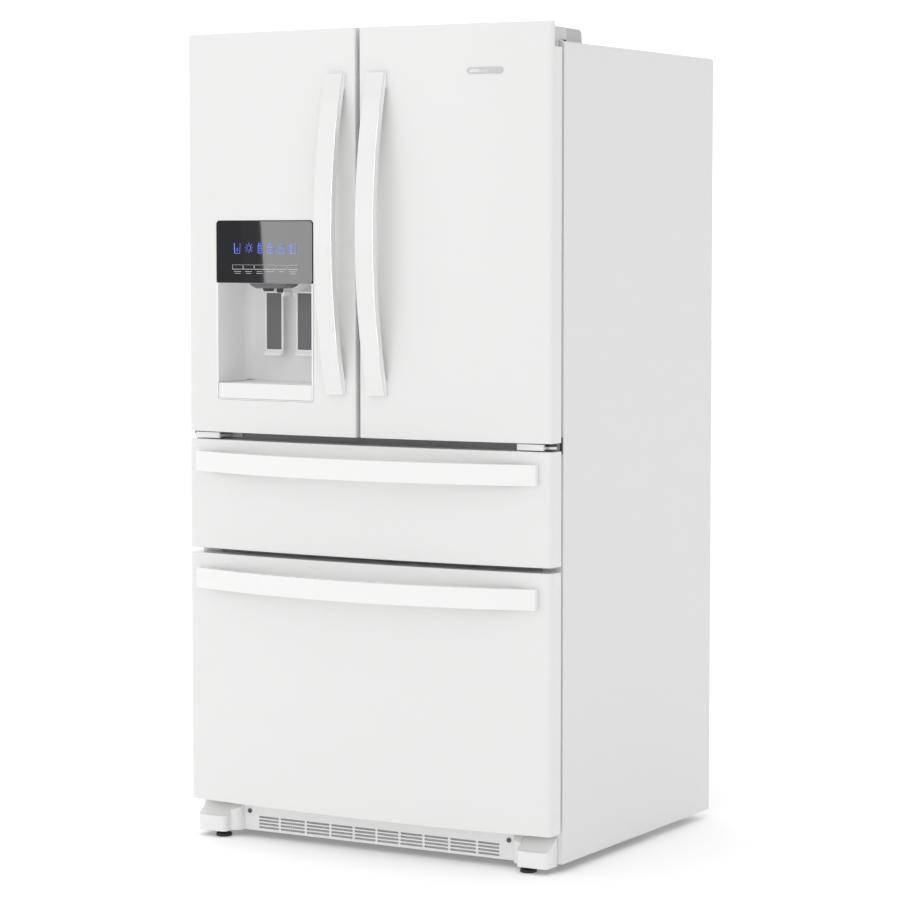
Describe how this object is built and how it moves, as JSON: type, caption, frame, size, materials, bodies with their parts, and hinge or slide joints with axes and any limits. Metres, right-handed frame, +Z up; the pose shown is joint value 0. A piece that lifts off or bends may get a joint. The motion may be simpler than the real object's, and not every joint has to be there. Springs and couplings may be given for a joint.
{
  "type": "french door refrigerator",
  "caption": "Free-standing refrigerator with side-hinged curved doors over pull-out drawers, bow handles, and an ice and water dispenser recessed in the door.",
  "frame": {"origin": "on the floor, under the middle of the whole appliance, handles included", "axes": "+Z up, -Y to the front with the doors and handles, +X to the right as a user facing the doors sees it"},
  "size_m": [0.905, 0.85, 1.765],
  "materials": {
    "white_enamel": "white gloss enamel",
    "white_handle": "white gloss",
    "white_liner": "white moulded plastic, satin gloss",
    "white_trim": "white moulded plastic",
    "black_glass": "black gloss",
    "grey_plastic": "grey moulded plastic, matte",
    "dark_plastic": "dark moulded plastic, matte",
    "clear_plastic": "clear moulded plastic",
    "shelf_glass": "toughened glass",
    "seal_rubber": "pale grey soft rubber",
    "foot_rubber": "black rubber",
    "foam": "rigid insulating foam",
    "zinc_steel": "zinc-plated sheet",
    "slide_steel": "zinc-plated, rolled",
    "black_steel": "black paint, satin",
    "grey_steel": "grey paint, satin",
    "fin_aluminium": "bare aluminium"
  },
  "bodies": {
    "cabinet": {"cabinet_shell": "white_enamel", "back_panel": "zinc_steel", "cabinet_foam": "foam", "fresh_food_liner": "white_liner", "drawer_liner": "white_liner", "freezer_liner": "white_liner", "crossbars": "grey_steel", "base_frame": "zinc_steel", "base_grille": "white_trim", "foot_covers": "white_trim", "rear_cover": "zinc_steel", "top_hinges": "zinc_steel", "hinge_covers": "grey_plastic", "centre_hinges": "white_enamel", "compressor": "black_steel", "condenser": "black_steel", "evaporator": "fin_aluminium", "drain_pan": "dark_plastic", "power_inlet": "dark_plastic", "screws": "zinc_steel", "glass_shelves": "shelf_glass", "ice_maker": "white_liner", "fixed_slides": "slide_steel"},
    "condenser_fan_rotor": {"condenser_fan": "dark_plastic"},
    "evaporator_fan_rotor": {"evaporator_fan": "dark_plastic"},
    "left_crisper_drawer": {"left_crisper": "clear_plastic"},
    "right_crisper_drawer": {"right_crisper": "clear_plastic"},
    "left_leg": {"left_levelling_leg": "foot_rubber"},
    "right_leg": {"right_levelling_leg": "foot_rubber"},
    "left_roller": {"left_rear_roller": "dark_plastic"},
    "right_roller": {"right_rear_roller": "dark_plastic"},
    "left_door": {"left_door_panel": "white_enamel", "left_door_liner": "white_liner", "left_door_gasket": "seal_rubber", "left_door_handle": "white_handle", "left_door_bins": "clear_plastic", "dispenser_panel": "black_glass", "dispenser_housing": "white_trim", "dispenser_spout": "dark_plastic"},
    "water_lever": {"water_paddle": "grey_plastic"},
    "ice_lever": {"ice_paddle": "grey_plastic"},
    "tray": {"drip_tray": "white_trim"},
    "flipper": {"mullion_flipper": "white_trim"},
    "right_door": {"right_door_panel": "white_enamel", "right_door_liner": "white_liner", "right_door_gasket": "seal_rubber", "right_door_handle": "white_handle", "right_door_bins": "clear_plastic"},
    "middle_drawer": {"drawer_front": "white_enamel", "drawer_gasket": "seal_rubber", "drawer_handle": "white_handle", "drawer_pan": "clear_plastic", "drawer_rails": "slide_steel"},
    "middle_slides": {"drawer_mid_slides": "slide_steel"},
    "freezer_drawer": {"freezer_front": "white_enamel", "freezer_gasket": "seal_rubber", "freezer_handle": "white_handle", "freezer_basket": "clear_plastic", "freezer_rails": "slide_steel"},
    "freezer_slides": {"freezer_mid_slides": "slide_steel"}
  },
  "joints": [
    {"name": "left_door_hinge", "type": "hinge", "parent": "cabinet", "child": "left_door", "pos_m": [-0.4405, -0.317, 0.9], "axis": [0, 0, -1], "range_deg": [0, 120]},
    {"name": "right_door_hinge", "type": "hinge", "parent": "cabinet", "child": "right_door", "pos_m": [0.4405, -0.317, 0.9], "axis": [0, 0, 1], "range_deg": [0, 120]},
    {"name": "flipper_hinge", "type": "hinge", "parent": "left_door", "child": "flipper", "pos_m": [-0.018, -0.282, 1.3], "axis": [0, 0, -1], "range_deg": [0, 90]},
    {"name": "water_paddle_hinge", "type": "hinge", "parent": "left_door", "child": "water_lever", "pos_m": [-0.283, -0.255, 1.201], "axis": [1, 0, 0], "range_deg": [0, 8], "stiffness_Nm_per_rad": 0.6, "springref_deg": -8.59},
    {"name": "ice_paddle_hinge", "type": "hinge", "parent": "left_door", "child": "ice_lever", "pos_m": [-0.202, -0.255, 1.201], "axis": [1, 0, 0], "range_deg": [0, 8], "stiffness_Nm_per_rad": 0.6, "springref_deg": -8.59},
    {"name": "drip_tray_slide", "type": "slide", "parent": "left_door", "child": "tray", "axis": [0, -1, 0], "range_m": [0, 0.06]},
    {"name": "middle_drawer_slide", "type": "slide", "parent": "cabinet", "child": "middle_drawer", "axis": [0, -1, 0], "range_m": [0, 0.4]},
    {"name": "middle_drawer_mid_slide", "type": "slide", "parent": "cabinet", "child": "middle_slides", "axis": [0, -1, 0], "range_m": [0, 0.2]},
    {"name": "freezer_drawer_slide", "type": "slide", "parent": "cabinet", "child": "freezer_drawer", "axis": [0, -1, 0], "range_m": [0, 0.4]},
    {"name": "freezer_drawer_mid_slide", "type": "slide", "parent": "cabinet", "child": "freezer_slides", "axis": [0, -1, 0], "range_m": [0, 0.2]},
    {"name": "left_crisper_slide", "type": "slide", "parent": "cabinet", "child": "left_crisper_drawer", "axis": [0, -1, 0], "range_m": [0, 0.055]},
    {"name": "right_crisper_slide", "type": "slide", "parent": "cabinet", "child": "right_crisper_drawer", "axis": [0, -1, 0], "range_m": [0, 0.09]},
    {"name": "left_leg_screw", "type": "hinge", "parent": "cabinet", "child": "left_leg", "pos_m": [-0.385, -0.313, 0], "axis": [0, 0, 1], "continuous": true},
    {"name": "right_leg_screw", "type": "hinge", "parent": "cabinet", "child": "right_leg", "pos_m": [0.385, -0.313, 0], "axis": [0, 0, 1], "continuous": true},
    {"name": "left_roller_spin", "type": "hinge", "parent": "cabinet", "child": "left_roller", "pos_m": [-0.4, 0.359, 0.02], "axis": [1, 0, 0], "continuous": true},
    {"name": "right_roller_spin", "type": "hinge", "parent": "cabinet", "child": "right_roller", "pos_m": [0.4, 0.359, 0.02], "axis": [1, 0, 0], "continuous": true},
    {"name": "condenser_fan_spin", "type": "hinge", "parent": "cabinet", "child": "condenser_fan_rotor", "pos_m": [-0.115, 0.309, 0.128], "axis": [1, 0, 0], "continuous": true},
    {"name": "evaporator_fan_spin", "type": "hinge", "parent": "cabinet", "child": "evaporator_fan_rotor", "pos_m": [0, 0.299, 0.56], "axis": [0, 1, 0], "continuous": true}
  ],
  "couplings": [
    {"joint": "middle_drawer_mid_slide", "follows": "middle_drawer_slide", "ratio": 0.5},
    {"joint": "freezer_drawer_mid_slide", "follows": "freezer_drawer_slide", "ratio": 0.5}
  ]
}
